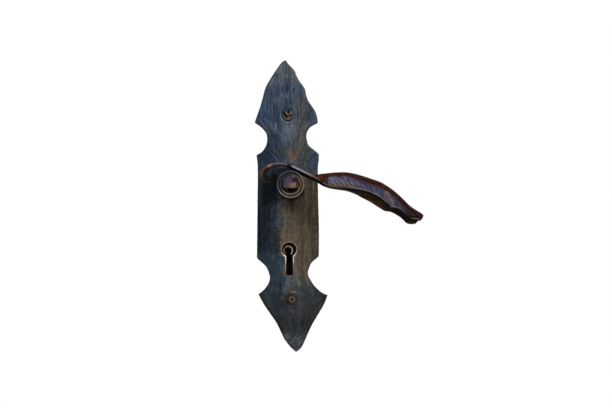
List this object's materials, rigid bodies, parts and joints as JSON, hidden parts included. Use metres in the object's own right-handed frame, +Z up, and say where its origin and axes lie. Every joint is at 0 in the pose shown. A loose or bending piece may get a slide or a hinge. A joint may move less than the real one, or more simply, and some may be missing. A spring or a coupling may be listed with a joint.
{
  "type": "door lock with lever handle",
  "caption": "Forged leaf-shaped lever handle on a hand-cut pointed long plate with a keyhole, and the narrow mortice lock behind it, with sprung latch and dead bolt.",
  "frame": {"origin": "on the spindle's axis, at the door's outer face, where the plate's back lies", "axes": "+Z up along the plate, +X from the spindle towards the hinge side, where the lever points, +Y into the door, from outside to inside"},
  "size_m": [0.1439, 0.0971, 0.2558],
  "materials": {
    "forged_plate": "forged, filed by hand, dark blue-grey with brown wear",
    "forged_bar": "forged, worn bright on top, rust at the scroll",
    "forged_leaf": "forged and chased, purple-brown oxide",
    "hammered_cap": "hammered flats, purple-brown",
    "worn_steel": "turned, grey, worn at the rim",
    "rusty_screw": "brown rust round a worn head",
    "bright_steel": "drawn steel",
    "spring_steel": "blued spring steel",
    "japanned_case": "black stove enamel",
    "plated_forend": "brushed and lacquered",
    "zinc_screw": "zinc-plated",
    "cast_follower": "cast, oiled",
    "brass_bolt": "cast brass, filed"
  },
  "bodies": {
    "lock_body": {"backplate": "forged_plate", "upper_screw": "rusty_screw", "lower_screw": "rusty_screw", "plate_bush": "worn_steel", "lock_case": "japanned_case", "case_cover": "japanned_case", "case_pillars": "bright_steel", "cover_screws": "zinc_screw", "forend": "plated_forend", "forend_screws": "zinc_screw", "forend_rivets": "bright_steel", "follower_stop": "bright_steel", "follower_spring": "spring_steel", "latch_spring": "spring_steel", "bolt_guide_pin": "bright_steel", "detent_spring": "spring_steel", "detent_rivet": "bright_steel", "front_key_bush": "bright_steel", "rear_key_bush": "bright_steel", "ward_ring": "bright_steel"},
    "lever": {"lever_boss": "worn_steel", "cap_washer": "worn_steel", "faceted_cap": "hammered_cap", "lever_arm": "forged_bar", "leaf_grip": "forged_leaf", "spindle": "bright_steel", "spindle_pin": "bright_steel", "retaining_ring": "spring_steel", "follower": "cast_follower"},
    "latch": {"latch_bolt": "brass_bolt"},
    "bolt": {"dead_bolt": "brass_bolt"}
  },
  "joints": [
    {"name": "lever_turn", "type": "hinge", "parent": "lock_body", "child": "lever", "pos_m": [0, 0, 0], "axis": [0, 1, 0], "range_deg": [0, 35], "stiffness_Nm_per_rad": 0.4, "springref_deg": -28.65, "deforming": ["follower_spring", "latch_spring"]},
    {"name": "latch_slide", "type": "slide", "parent": "lock_body", "child": "latch", "axis": [1, 0, 0], "range_m": [0, 0.0105], "stiffness_N_per_m": 80, "springref_m": -0.012},
    {"name": "bolt_slide", "type": "slide", "parent": "lock_body", "child": "bolt", "axis": [-1, 0, 0], "range_m": [0, 0.01], "deforming": ["detent_spring"]}
  ],
  "couplings": [
    {"joint": "latch_slide", "follows": "lever_turn", "m_per_rad": 0.017188}
  ]
}
